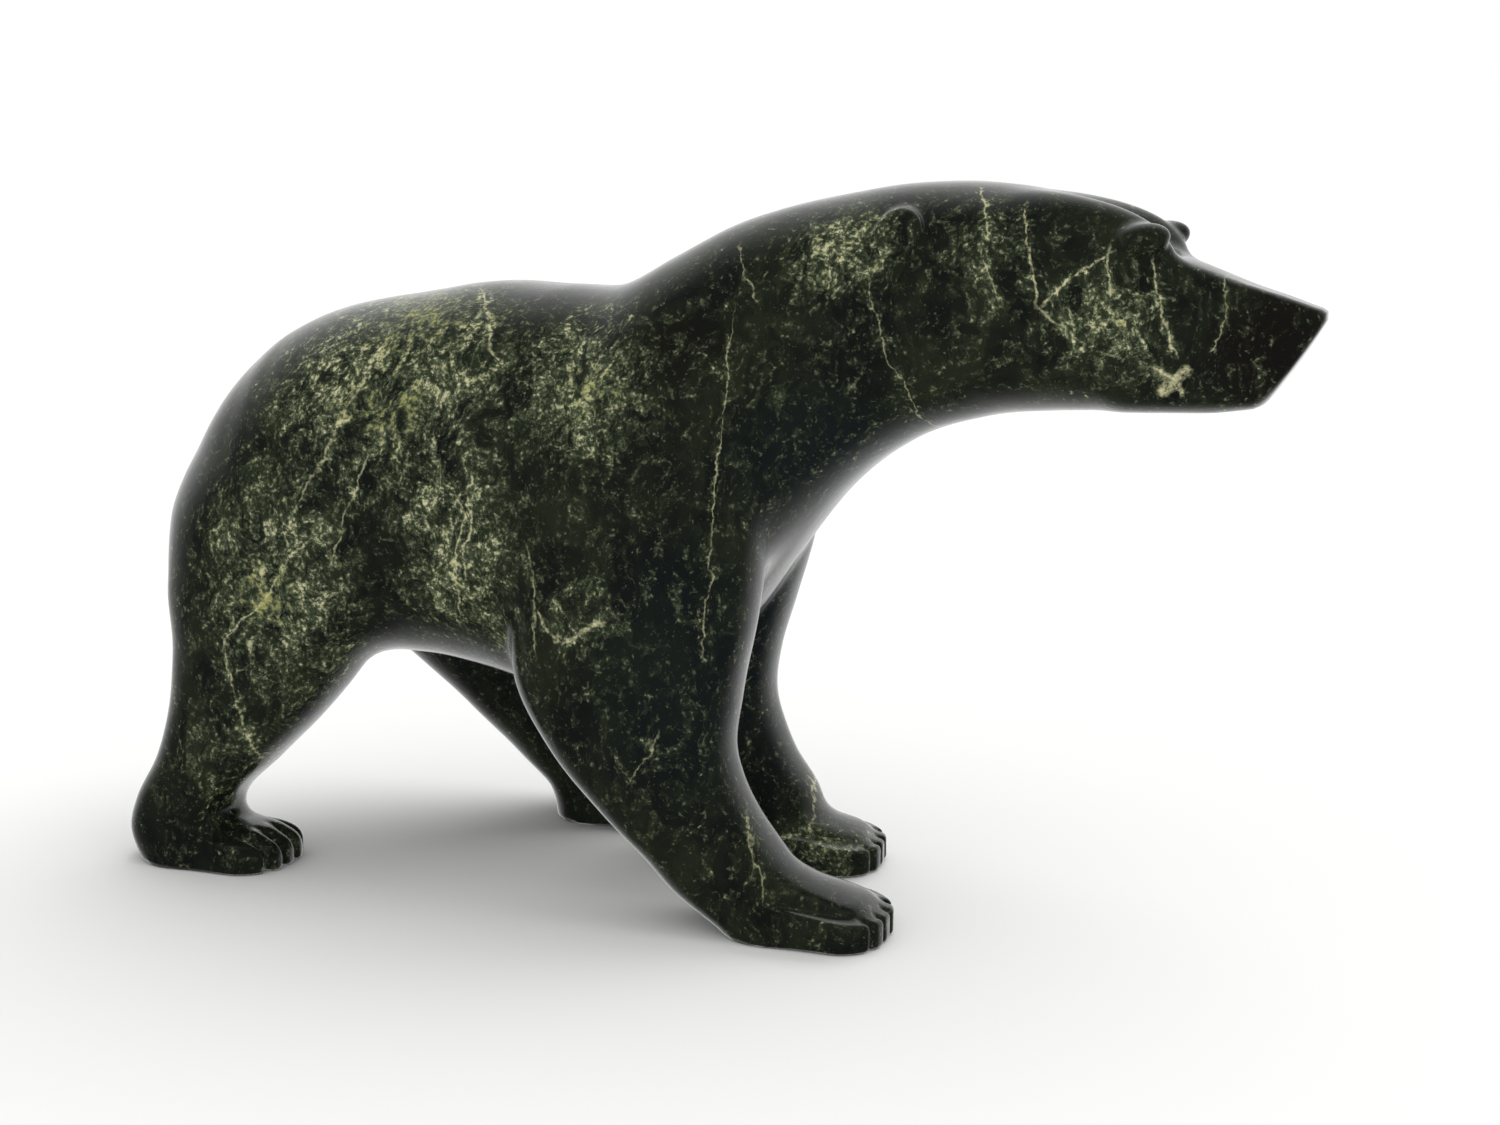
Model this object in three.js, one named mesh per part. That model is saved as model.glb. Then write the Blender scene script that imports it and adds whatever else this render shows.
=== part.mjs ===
// A walking bear carved from one block of soapstone, standing on the flat soles of its four feet.
// Millimetres. +X is the way the bear faces, +Z is up, and the floor is z = 0. The bear's right side is
// -Y. The origin is on the floor, under the middle of the carving.
//
// The form is one rounded body: every mass below is a function that is negative inside the stone, the
// masses are run together with soft joins, and the skin is traced where the result is zero.
import * as THREE from "three";

// Trunk, neck and skull, as upright slices along the bear: how high the back is, how low the belly or
// throat is, and half the width there.
const TRUNK = [
  { at: -98, top: 125, bottom: 62, half: 33 },
  { at: -84, top: 134, bottom: 56.5, half: 37.5 },
  { at: -66, top: 141, bottom: 52.5, half: 39.5 },
  { at: -46, top: 144.5, bottom: 49, half: 40 },
  { at: -28, top: 144, bottom: 45, half: 39.5 },
  { at: -12, top: 144.5, bottom: 45, half: 38 },
  { at: 2, top: 151.5, bottom: 52, half: 36 },
  { at: 16, top: 158.5, bottom: 62, half: 33 },
  { at: 28, top: 162.5, bottom: 79, half: 30.5 },
  { at: 42, top: 165.5, bottom: 97, half: 28 },
  { at: 58, top: 168, bottom: 109.5, half: 26 },
  { at: 76, top: 168.2, bottom: 116, half: 25 },
  { at: 92, top: 165.6, bottom: 117.9, half: 23.5 },
  { at: 104, top: 160.3, bottom: 118.4, half: 21.5 },
  { at: 114, top: 153.8, bottom: 118.8, half: 18 },
  { at: 126, top: 148, bottom: 119.5, half: 12 },
  { at: 136, top: 142, bottom: 121, half: 8 },
];
const TRUNK_FULLNESS = 2.3; // 2 is an ellipse, more is squarer
const TRUNK_END_SOFTNESS = 12;

// Rump: a rounded mass about one middle, whose reach is given by the angle round the side view
// (0 forward, 90 up, 180 back).
const RUMP_MIDDLE = { x: -88, z: 85 };
const RUMP_HALF_WIDTH = 40;
const RUMP_FULLNESS = 2.15;
const RUMP = [
  { at: 0, reach: 50 },
  { at: 45, reach: 53 },
  { at: 90, reach: 51.8 },
  { at: 120, reach: 46 },
  { at: 150, reach: 43.5 },
  { at: 180, reach: 46.5 },
  { at: 210, reach: 47 },
  { at: 240, reach: 39 },
  { at: 270, reach: 33 },
  { at: 315, reach: 38 },
];

// Legs, as level slices from the floor up: the rear edge, the front edge, the middle across the bear and
// half the leg's width.
const LEG_FULLNESS = 2.4;
const LEG_TOP_SOFTNESS = 12;
const LEG_END = 1; // the columns stop just above the floor, inside the feet
const RIGHT_FORELEG = [
  { at: 0, rear: 25.5, front: 46, y: -32.5, half: 12.5 },
  { at: 8, rear: 12.5, front: 46, y: -32.5, half: 13.2 },
  { at: 16, rear: 4, front: 39, y: -32.5, half: 13.2 },
  { at: 26, rear: -8, front: 31, y: -31.5, half: 13.5 },
  { at: 38, rear: -20, front: 25, y: -30, half: 14.5 },
  { at: 52, rear: -29, front: 25.5, y: -28, half: 16 },
  { at: 66, rear: -31.5, front: 28, y: -27, half: 17 },
  { at: 85, rear: -35, front: 30, y: -25, half: 17.5 },
  { at: 110, rear: -25, front: 30, y: -22, half: 17 },
  { at: 134, rear: -8, front: 22, y: -17, half: 13 },
];
const LEFT_FORELEG = [
  { at: 0, rear: 12, front: 28, y: 18.5, half: 12 },
  { at: 8, rear: 1, front: 31, y: 18.5, half: 13 },
  { at: 16, rear: -8, front: 29, y: 20, half: 13 },
  { at: 26, rear: -16, front: 21.5, y: 22, half: 13.5 },
  { at: 38, rear: -23, front: 16, y: 24, half: 14.5 },
  { at: 52, rear: -28, front: 16.5, y: 25, half: 16 },
  { at: 66, rear: -32, front: 20.5, y: 26, half: 17 },
  { at: 85, rear: -34, front: 26, y: 25, half: 17.5 },
  { at: 110, rear: -25, front: 29, y: 22, half: 17 },
  { at: 134, rear: -8, front: 22, y: 17, half: 13 },
];
const RIGHT_HIND_LEG = [
  { at: 0, rear: -133, front: -112, y: -32, half: 12.5 },
  { at: 8, rear: -136, front: -109, y: -32, half: 13 },
  { at: 16, rear: -134, front: -108, y: -31.5, half: 13.2 },
  { at: 26, rear: -129, front: -98, y: -30, half: 13.8 },
  { at: 38, rear: -126, front: -86, y: -28, half: 15 },
  { at: 52, rear: -126, front: -75, y: -25, half: 17 },
  { at: 70, rear: -128, front: -64, y: -22, half: 19 },
  { at: 95, rear: -120, front: -64, y: -19, half: 18 },
];
const LEFT_HIND_LEG = [
  { at: 0, rear: -46, front: -26, y: 37.5, half: 12 },
  { at: 8, rear: -52, front: -24, y: 37.5, half: 13 },
  { at: 16, rear: -60.5, front: -27, y: 36.5, half: 13.2 },
  { at: 26, rear: -70, front: -34, y: 34, half: 13.8 },
  { at: 38, rear: -82, front: -42, y: 31, half: 15 },
  { at: 52, rear: -97, front: -50, y: 27, half: 17 },
  { at: 70, rear: -112, front: -57, y: 23, half: 19 },
  { at: 95, rear: -116, front: -62, y: 19, half: 18 },
];

// Feet: a slab with upright sides, and a pillow of stone rising off it toward the ankle.
const FORE_PAD = {
  length: 37,
  width: 27,
  corner: 10.5,
  toeHeight: 6.8,
  slope: 0.12,
  edge: 1.2,
  pillow: 4.5,
};
const HIND_PAD = {
  length: 38,
  width: 27,
  corner: 11,
  toeHeight: 7.2,
  slope: 0.06,
  edge: 4,
  pillow: 3,
};
const TOE_LINE = 4; // how far behind the tip a toe's height is given
const PILLOW_INSET = 2;
const PILLOW_RUN = 16; // how far behind the tip the pillow reaches its named rise
const PILLOW_MOST = 1.3; // it rises on until this many times that far
const PILLOW_EDGE = 5;
const PILLOW_JOIN = 1.5;
const SOLE_EDGE = 1.5;
const ANKLE_JOIN = 3;
const RUMP_JOIN = 10;
const FLOOR_EDGE = 0.5;

const LEGS = [
  { slices: RIGHT_FORELEG, pad: FORE_PAD, toe: 62.8, y: -32.5, turn: 0, join: 6 },
  { slices: LEFT_FORELEG, pad: FORE_PAD, toe: 46.8, y: 18.5, turn: 6, join: 6 },
  { slices: RIGHT_HIND_LEG, pad: HIND_PAD, toe: -92.5, y: -32, turn: 0, join: 8 },
  { slices: LEFT_HIND_LEG, pad: HIND_PAD, toe: -11, y: 37.5, turn: 4, join: 8 },
];

// Muzzle: a wedge with flat sides, a narrow flat top, a flat jaw and a front that slopes back to the chin.
const MUZZLE = {
  root: 120,
  rootTop: 150.8,
  topFall: 0.325,
  jaw: 119.7,
  halfWidth: 13.6,
  taper: 0.2,
  lean: 0.13,
  noseX: 149.8,
  noseZ: 139.5,
  frontSlope: 33, // degrees the front leans back under the nose
  frontBulge: 0.0032,
  frontMiddle: 131,
  edge: 2.5,
  jawEdge: 9,
  rear: 104,
  rearSoft: 6,
  soft: 4,
};

// Brows, eye hollows and ears: given for one side and made on both.
const BROW_RIDGE = { x: 99.3, y: 10, z: 156.8, rx: 17.3, ry: 6.2, rz: 7.4, tilt: -10, soft: 6 };
const BROW_LID = { x: 110.6, y: 13.6, z: 155.6, rx: 6.6, ry: 4, rz: 3.4, tilt: 14, soft: 3 };
const EYE_HOLLOW = { x: 114.5, y: 20, z: 149.8, rx: 6, ry: 4, rz: 2.4, tilt: 0, soft: 4 };
const EAR = {
  top: { x: 60.3, z: 157.4, r: 5.4 },
  tip: { x: 60.4, z: 147.6, r: 1.3 },
  proud: 1.5,
  edge: 1.5,
  soft: 2,
};
const EAR_HOLLOW = { x: 60.4, y: 27.4, z: 157, rx: 3.9, ry: 3.6, rz: 4.4, tilt: 0, soft: 1.5 };
const WRIST_SCOOP = { x: 39, y: -49, z: 13.5, rx: 8, ry: 5.5, rz: 4.5, tilt: 25, soft: 2.5 };

// Skin: the grid the surface is first traced on, and the number of facets kept.
const GRID = 2;
const REACH = { low: [-146, -56, -4], high: [160, 60, 176] };
const FACETS = 9800;

const STONE = { color: 0x2b3830, roughness: 0.28, metalness: 0 };

// A sloping side's height reading is scaled by this to stay close to a true distance.
const SLANT = 0.9;

// --- small tools for shapes --------------------------------------------------------------------

const TINY = 1e-9;
const radians = (degrees) => (degrees * Math.PI) / 180;

// The lesser of two distances, rounded off where they are within `soft` of each other.
function join(a, b, soft) {
  const h = Math.max(soft - Math.abs(a - b), 0) / soft;
  return Math.min(a, b) - (h * h * soft) / 4;
}

const common = (a, b, soft) => -join(-a, -b, soft);
const cut = (a, b, soft) => common(a, -b, soft);

// A smooth curve through rows of { at, ... }: returns a function that reads one column at `t`.
function through(rows, column) {
  const at = rows.map((row) => row.at);
  const value = rows.map((row) => row[column]);
  const last = rows.length - 1;
  const rise = (i) => (value[i + 1] - value[i]) / (at[i + 1] - at[i]);
  const slope = value.map((_, i) => {
    if (i === 0) return rise(0);
    if (i === last) return rise(last - 1);
    const before = at[i] - at[i - 1];
    const after = at[i + 1] - at[i];
    return (rise(i - 1) * after + rise(i) * before) / (before + after);
  });
  return (t) => {
    const inside = Math.min(Math.max(t, at[0]), at[last]);
    let i = 0;
    while (i < last - 1 && inside > at[i + 1]) i++;
    const span = at[i + 1] - at[i];
    const u = (inside - at[i]) / span;
    const u2 = u * u;
    const u3 = u2 * u;
    return (
      (2 * u3 - 3 * u2 + 1) * value[i] +
      (u3 - 2 * u2 + u) * span * slope[i] +
      (3 * u2 - 2 * u3) * value[i + 1] +
      (u3 - u2) * span * slope[i + 1]
    );
  };
}

// How far out a point is on a slice of half sizes a and b: 1 on the edge.
function sliceReach(da, a, db, b, fullness) {
  const sum = Math.abs(da / a) ** fullness + Math.abs(db / b) ** fullness;
  return (sum + TINY) ** (1 / fullness);
}

function ellipsoid(x, y, z, e) {
  const c = Math.cos(radians(e.tilt));
  const s = Math.sin(radians(e.tilt));
  const dx = (x - e.x) * c + (z - e.z) * s;
  const dy = y - e.y;
  const dz = (z - e.z) * c - (x - e.x) * s;
  const near = Math.hypot(dx / e.rx, dy / e.ry, dz / e.rz);
  const steep = Math.hypot(dx / e.rx ** 2, dy / e.ry ** 2, dz / e.rz ** 2) + TINY;
  return (near * (near - 1)) / steep;
}

// --- the masses of the bear --------------------------------------------------------------------

const trunkTop = through(TRUNK, "top");
const trunkBottom = through(TRUNK, "bottom");
const trunkHalf = through(TRUNK, "half");
const TRUNK_REAR = TRUNK[0].at;
const TRUNK_FRONT = TRUNK[TRUNK.length - 1].at;

function trunk(x, y, z) {
  const top = trunkTop(x);
  const bottom = trunkBottom(x);
  const half = trunkHalf(x);
  const tall = (top - bottom) / 2;
  const out = sliceReach(y, half, z - (top + bottom) / 2, tall, TRUNK_FULLNESS);
  const ends = Math.max(TRUNK_REAR - x, x - TRUNK_FRONT);
  return common((out - 1) * Math.min(half, tall), ends, TRUNK_END_SOFTNESS);
}

// The rump's reach is joined up across a whole turn on each side, so that it has no seam.
const turned = (turns) => RUMP.map((row) => ({ ...row, at: row.at + 360 * turns }));
const rumpReach = through([...turned(-1), ...RUMP, ...turned(1)], "reach");

function rump(x, y, z) {
  const dx = x - RUMP_MIDDLE.x;
  const dz = z - RUMP_MIDDLE.z;
  const angle = (THREE.MathUtils.radToDeg(Math.atan2(dz, dx)) + 360) % 360;
  const away = Math.hypot(dx, dz);
  const out = sliceReach(away, rumpReach(angle), y, RUMP_HALF_WIDTH, RUMP_FULLNESS);
  return (out - 1) * RUMP_HALF_WIDTH;
}

function column(slices) {
  const rear = through(slices, "rear");
  const front = through(slices, "front");
  const middle = through(slices, "y");
  const half = through(slices, "half");
  const top = slices[slices.length - 1].at;
  return (x, y, z) => {
    const long = (front(z) - rear(z)) / 2;
    const wide = half(z);
    const dx = x - (front(z) + rear(z)) / 2;
    const out = sliceReach(dx, long, y - middle(z), wide, LEG_FULLNESS);
    const side = (out - 1) * Math.min(long, wide) * SLANT;
    return common(common(side, z - top, LEG_TOP_SOFTNESS), LEG_END - z, LEG_END);
  };
}

function foot(leg) {
  const pad = leg.pad;
  const c = Math.cos(radians(leg.turn));
  const s = Math.sin(radians(leg.turn));
  return (x, y, z) => {
    const back = (leg.toe - x) * c + (leg.y - y) * s; // distance behind the toes
    const side = (y - leg.y) * c - (x - leg.toe) * s;
    const qx = Math.abs(back - pad.length / 2) - pad.length / 2 + pad.corner;
    const qy = Math.abs(side) - pad.width / 2 + pad.corner;
    const round = Math.hypot(Math.max(qx, 0), Math.max(qy, 0));
    const outline = round + Math.min(Math.max(qx, qy), 0) - pad.corner;
    const top = pad.toeHeight + pad.slope * (back - TOE_LINE);
    const slab = common(outline, z - top, pad.edge);
    const arch = 1 - (side / (pad.width / 2)) ** 2;
    const run = Math.sqrt(Math.min(Math.max(back / PILLOW_RUN, 0), PILLOW_MOST));
    const crown = (z - top - pad.pillow * arch * run) * SLANT;
    const pillow = common(outline + PILLOW_INSET, crown, PILLOW_EDGE);
    return join(common(slab, -z, SOLE_EDGE), common(pillow, -z, SOLE_EDGE), PILLOW_JOIN);
  };
}

function muzzle(x, y, z) {
  const m = MUZZLE;
  const along = x - m.root;
  const top = (z - (m.rootTop - m.topFall * along)) * Math.cos(Math.atan(m.topFall));
  const half = m.halfWidth - m.taper * along - m.lean * (z - m.jaw);
  const side = (Math.abs(y) - half) * Math.cos(Math.atan(m.taper));
  const bulge = m.frontBulge * (z - m.frontMiddle) ** 2;
  const forward = (x - m.noseX) * Math.cos(radians(m.frontSlope));
  const front = forward - (z - m.noseZ) * Math.sin(radians(m.frontSlope)) + bulge;
  let d = common(side, top, m.edge);
  d = common(d, m.jaw - z, m.jawEdge);
  d = common(d, front, m.edge);
  return common(d, m.rear - x, m.rearSoft);
}

// The ear's outline, seen from the side: round above, drawn down to a point.
function earOutline(x, z) {
  const { top, tip } = EAR;
  const ux = tip.x - top.x;
  const uz = tip.z - top.z;
  const run = ((x - top.x) * ux + (z - top.z) * uz) / (ux * ux + uz * uz);
  const t = Math.min(Math.max(run, 0), 1);
  const away = Math.hypot(x - top.x - t * ux, z - top.z - t * uz);
  return away - (top.r + (tip.r - top.r) * t);
}

function head(x, y, z) {
  const side = Math.abs(y);
  let d = join(trunk(x, y, z), muzzle(x, y, z), MUZZLE.soft);
  d = join(d, ellipsoid(x, side, z, BROW_RIDGE), BROW_RIDGE.soft);
  d = join(d, ellipsoid(x, side, z, BROW_LID), BROW_LID.soft);
  d = cut(d, ellipsoid(x, side, z, EYE_HOLLOW), EYE_HOLLOW.soft);
  d = join(d, common(earOutline(x, z), d - EAR.proud, EAR.edge), EAR.soft);
  return cut(d, ellipsoid(x, side, z, EAR_HOLLOW), EAR_HOLLOW.soft);
}

const legs = LEGS.map((leg) => ({
  column: column(leg.slices),
  foot: foot(leg),
  join: leg.join,
}));

function bear(x, y, z) {
  let d = join(head(x, y, z), rump(x, y, z), RUMP_JOIN);
  for (const leg of legs) {
    d = join(d, join(leg.column(x, y, z), leg.foot(x, y, z), ANKLE_JOIN), leg.join);
  }
  d = cut(d, ellipsoid(x, y, z, WRIST_SCOOP), WRIST_SCOOP.soft);
  return common(d, -z, FLOOR_EDGE);
}

// --- tracing the skin --------------------------------------------------------------------------

// One vertex in each grid cell that the surface passes through, and one four-sided face across each grid
// edge it crosses.
function trace(field) {
  const n = [0, 1, 2].map((i) => Math.ceil((REACH.high[i] - REACH.low[i]) / GRID) + 1);
  const at = (i, j, k) => (i * n[1] + j) * n[2] + k;
  const place = (axis, i) => REACH.low[axis] + i * GRID;
  const value = new Float64Array(n[0] * n[1] * n[2]);
  for (let i = 0; i < n[0]; i++) {
    for (let j = 0; j < n[1]; j++) {
      for (let k = 0; k < n[2]; k++) {
        value[at(i, j, k)] = field(place(0, i), place(1, j), place(2, k));
      }
    }
  }
  const stride = [n[1] * n[2], n[2], 1];
  const vertex = new Map();
  const points = [];
  const corners = [0, 1, 2, 3, 4, 5, 6, 7].map((c) => [c & 1, (c >> 1) & 1, c >> 2]);
  const cellVertex = (cell) => {
    const key = at(...cell);
    if (vertex.has(key)) return vertex.get(key);
    const sum = [0, 0, 0];
    let count = 0;
    for (const corner of corners) {
      for (let axis = 0; axis < 3; axis++) {
        if (corner[axis]) continue;
        const start = cell.map((c, i) => c + corner[i]);
        const a = value[at(...start)];
        const b = value[at(...start) + stride[axis]];
        if (a < 0 === b < 0) continue;
        for (let i = 0; i < 3; i++) {
          sum[i] += place(i, start[i] + (i === axis ? a / (a - b) : 0));
        }
        count++;
      }
    }
    points.push(sum.map((v) => v / count));
    vertex.set(key, points.length - 1);
    return points.length - 1;
  };
  const faces = [];
  for (let axis = 0; axis < 3; axis++) {
    const b = (axis + 1) % 3;
    const c = (axis + 2) % 3;
    const cell = [0, 0, 0];
    for (cell[0] = axis === 0 ? 0 : 1; cell[0] < n[0] - 1; cell[0]++) {
      for (cell[1] = axis === 1 ? 0 : 1; cell[1] < n[1] - 1; cell[1]++) {
        for (cell[2] = axis === 2 ? 0 : 1; cell[2] < n[2] - 1; cell[2]++) {
          const here = at(...cell);
          const inside = value[here] < 0;
          if (inside === value[here + stride[axis]] < 0) continue;
          const around = [
            [-1, -1],
            [0, -1],
            [0, 0],
            [-1, 0],
          ].map(([db, dc]) => {
            const near = [...cell];
            near[b] += db;
            near[c] += dc;
            return cellVertex(near);
          });
          if (!inside) around.reverse();
          faces.push([around[0], around[1], around[2]], [around[0], around[2], around[3]]);
        }
      }
    }
  }
  return { points, faces };
}

// Moves a point on to the surface, along the way the field rises.
function settle(field, p, passes) {
  const step = 0.05; // either side of the point, to read the slope
  const most = 0.5; // the furthest one pass may move it
  const flattest = 0.05;
  for (let pass = 0; pass < passes; pass++) {
    const d = field(...p);
    const rise = [0, 1, 2].map((i) => {
      const ahead = [...p];
      const behind = [...p];
      ahead[i] += step;
      behind[i] -= step;
      return (field(...ahead) - field(...behind)) / (2 * step);
    });
    const steep = Math.max(rise[0] ** 2 + rise[1] ** 2 + rise[2] ** 2, flattest);
    const length = Math.abs(d) / Math.sqrt(steep);
    const scale = (d / steep) * Math.min(1, most / Math.max(length, TINY));
    for (let i = 0; i < 3; i++) p[i] -= rise[i] * scale;
  }
}

// --- thinning the facets -----------------------------------------------------------------------

const minus = (a, b) => [a[0] - b[0], a[1] - b[1], a[2] - b[2]];
const dot = (a, b) => a[0] * b[0] + a[1] * b[1] + a[2] * b[2];
const cross = (a, b) => [
  a[1] * b[2] - a[2] * b[1],
  a[2] * b[0] - a[0] * b[2],
  a[0] * b[1] - a[1] * b[0],
];
const faceNormal = (a, b, c) => cross(minus(b, a), minus(c, a));

// The error of a point against a set of planes is kept as the ten terms of their summed squares.
function planeTerms(normal, offset, weight) {
  const v = [...normal, offset];
  const terms = [];
  for (let i = 0; i < 4; i++) {
    for (let j = i; j < 4; j++) terms.push(v[i] * v[j] * weight);
  }
  return terms;
}

function planeError(q, [x, y, z]) {
  const square = q[0] * x * x + q[4] * y * y + q[7] * z * z;
  const mixed = q[1] * x * y + q[2] * x * z + q[5] * y * z;
  return square + 2 * (mixed + q[3] * x + q[6] * y + q[8] * z) + q[9];
}

// A queue that always gives back the entry of least cost.
class Queue {
  constructor() {
    this.items = [];
  }
  push(item) {
    const a = this.items;
    let i = a.push(item) - 1;
    while (i > 0) {
      const up = (i - 1) >> 1;
      if (a[up].cost <= a[i].cost) break;
      [a[up], a[i]] = [a[i], a[up]];
      i = up;
    }
  }
  pop() {
    const a = this.items;
    const first = a[0];
    const end = a.pop();
    if (!a.length) return first;
    a[0] = end;
    let i = 0;
    for (;;) {
      let least = i;
      for (const child of [2 * i + 1, 2 * i + 2]) {
        if (child < a.length && a[child].cost < a[least].cost) least = child;
      }
      if (least === i) return first;
      [a[least], a[i]] = [a[i], a[least]];
      i = least;
    }
  }
}

// Takes out the edge whose loss changes the form least, over and over, until `wanted` facets are left.
function thin(points, faces, wanted) {
  const terms = points.map(() => new Array(10).fill(0));
  const around = points.map(() => new Set());
  const stamp = new Array(points.length).fill(0);
  const alive = new Array(faces.length).fill(true);
  const evenness = 1e-3; // a slight preference for short edges where the stone is flat
  const mostTurn = 0.6; // cosine of the furthest a facet may turn
  const slenderest = 0.12; // twice a facet's area over its longest side squared
  faces.forEach((face, f) => {
    const normal = faceNormal(...face.map((v) => points[v]));
    const area = Math.hypot(...normal);
    const unit = normal.map((v) => v / Math.max(area, TINY));
    const plane = planeTerms(unit, -dot(unit, points[face[0]]), area);
    for (const v of face) {
      plane.forEach((t, i) => (terms[v][i] += t));
      around[v].add(f);
    }
  });
  const queue = new Queue();
  const offer = (a, b) => {
    const q = terms[a].map((t, i) => t + terms[b][i]);
    const middle = points[a].map((v, i) => (v + points[b][i]) / 2);
    const span = minus(points[a], points[b]);
    const length = dot(span, span);
    let best = null;
    for (const point of [middle, points[a], points[b]]) {
      const cost = planeError(q, point) + evenness * length * length;
      if (!best || cost < best.cost) best = { cost, point };
    }
    queue.push({ a, b, marks: [stamp[a], stamp[b]], ...best });
  };
  const neighbours = (v) => {
    const found = new Set();
    for (const f of around[v]) faces[f].forEach((w) => w !== v && found.add(w));
    return found;
  };
  points.forEach((_, a) => neighbours(a).forEach((b) => a < b && offer(a, b)));
  // A move is refused where it would turn a facet over or draw it out into a sliver.
  const spoils = (v, other, point) => {
    for (const f of around[v]) {
      if (faces[f].includes(other)) continue;
      const before = faces[f].map((w) => points[w]);
      const after = faces[f].map((w) => (w === v ? point : points[w]));
      const was = faceNormal(...before);
      const now = faceNormal(...after);
      const size = Math.hypot(...now);
      if (dot(was, now) < mostTurn * Math.hypot(...was) * size) return true;
      const sides = [0, 1, 2].map((i) => Math.hypot(...minus(after[i], after[(i + 1) % 3])));
      if (size < slenderest * Math.max(...sides) ** 2) return true;
    }
    return false;
  };
  let left = faces.length;
  while (left > wanted && queue.items.length) {
    const { a, b, marks, point } = queue.pop();
    if (stamp[a] !== marks[0] || stamp[b] !== marks[1]) continue;
    const shared = [...around[a]].filter((f) => around[b].has(f));
    const mutual = [...neighbours(a)].filter((v) => neighbours(b).has(v));
    if (shared.length !== 2 || mutual.length !== 2) continue;
    if (spoils(a, b, point) || spoils(b, a, point)) continue;
    for (const f of shared) {
      alive[f] = false;
      faces[f].forEach((v) => around[v].delete(f));
    }
    for (const f of around[b]) {
      faces[f] = faces[f].map((v) => (v === b ? a : v));
      around[a].add(f);
    }
    around[b].clear();
    points[a] = [...point];
    terms[a] = terms[a].map((t, i) => t + terms[b][i]);
    stamp[a]++;
    stamp[b] = -1;
    left -= 2;
    for (const v of neighbours(a)) offer(a, v);
  }
  return faces.filter((_, f) => alive[f]);
}

// --- the carving -------------------------------------------------------------------------------

const { points, faces } = trace(bear);
for (const p of points) settle(bear, p, 3);
const kept = thin(points, faces, FACETS);
const SOLE_LEVEL = 0.35; // anything this close to the floor lies on it
for (const v of new Set(kept.flat())) {
  if (points[v][2] > SOLE_LEVEL) settle(bear, points[v], 2);
  if (points[v][2] < SOLE_LEVEL) points[v][2] = 0;
}

const geometry = new THREE.BufferGeometry();
geometry.setAttribute("position", new THREE.Float32BufferAttribute(points.flat(), 3));
geometry.setIndex(kept.flat());
const used = geometry.toNonIndexed();
used.computeBoundingBox();
const middle = used.boundingBox.getCenter(new THREE.Vector3());
used.translate(-middle.x, -middle.y, 0);
used.computeVertexNormals();

const carving = new THREE.Mesh(used, new THREE.MeshStandardMaterial(STONE));
carving.name = "bear";

const part = new THREE.Group();
part.add(carving);

export default part;
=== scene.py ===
"""A walking bear carved from one block of soapstone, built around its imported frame.

The form is one rounded body. Each mass is a function that is negative inside the stone, the masses are
run together with soft joins, and the skin is traced where the result is zero. It is worked out in
millimetres, with +X the way the bear faces, +Z up and the floor at z = 0, and then set in the frame.
"""

import math

import bpy
import numpy as np
from bpy.props import FloatProperty, FloatVectorProperty, PointerProperty, StringProperty
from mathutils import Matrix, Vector


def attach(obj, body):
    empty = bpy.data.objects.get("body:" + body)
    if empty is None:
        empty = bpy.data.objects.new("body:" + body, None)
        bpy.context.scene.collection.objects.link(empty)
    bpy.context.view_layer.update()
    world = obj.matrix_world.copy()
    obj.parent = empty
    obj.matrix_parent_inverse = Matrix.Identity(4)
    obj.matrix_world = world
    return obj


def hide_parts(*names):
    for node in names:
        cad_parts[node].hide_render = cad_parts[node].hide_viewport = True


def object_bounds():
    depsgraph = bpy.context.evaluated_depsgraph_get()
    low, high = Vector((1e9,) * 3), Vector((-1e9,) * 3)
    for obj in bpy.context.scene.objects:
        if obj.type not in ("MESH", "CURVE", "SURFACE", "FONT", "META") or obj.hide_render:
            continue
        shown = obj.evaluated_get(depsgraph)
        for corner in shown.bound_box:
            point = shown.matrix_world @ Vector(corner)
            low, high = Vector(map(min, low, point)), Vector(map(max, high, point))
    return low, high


bl_info = {
    "name": "Soapstone bear carving",
    "version": (1, 0, 0),
    "blender": (4, 5, 0),
    "location": "View3D > Sidebar > Carving",
    "description": "Carves a walking bear in waxed soapstone and stands it in a soft white studio",
    "category": "Object",
}

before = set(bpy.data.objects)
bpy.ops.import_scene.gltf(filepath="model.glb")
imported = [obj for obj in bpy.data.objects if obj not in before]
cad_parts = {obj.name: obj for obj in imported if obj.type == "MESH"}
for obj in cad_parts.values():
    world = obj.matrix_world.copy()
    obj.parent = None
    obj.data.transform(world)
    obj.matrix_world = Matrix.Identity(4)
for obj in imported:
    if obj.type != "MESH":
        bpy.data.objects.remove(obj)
CAD_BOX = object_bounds()
MM = 0.001
TINY = 1e-9
NODE = "bear"
PIECE_NAME = "carved_bear"

# --- the masses of the bear ---------------------------------------------------------------------

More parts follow.
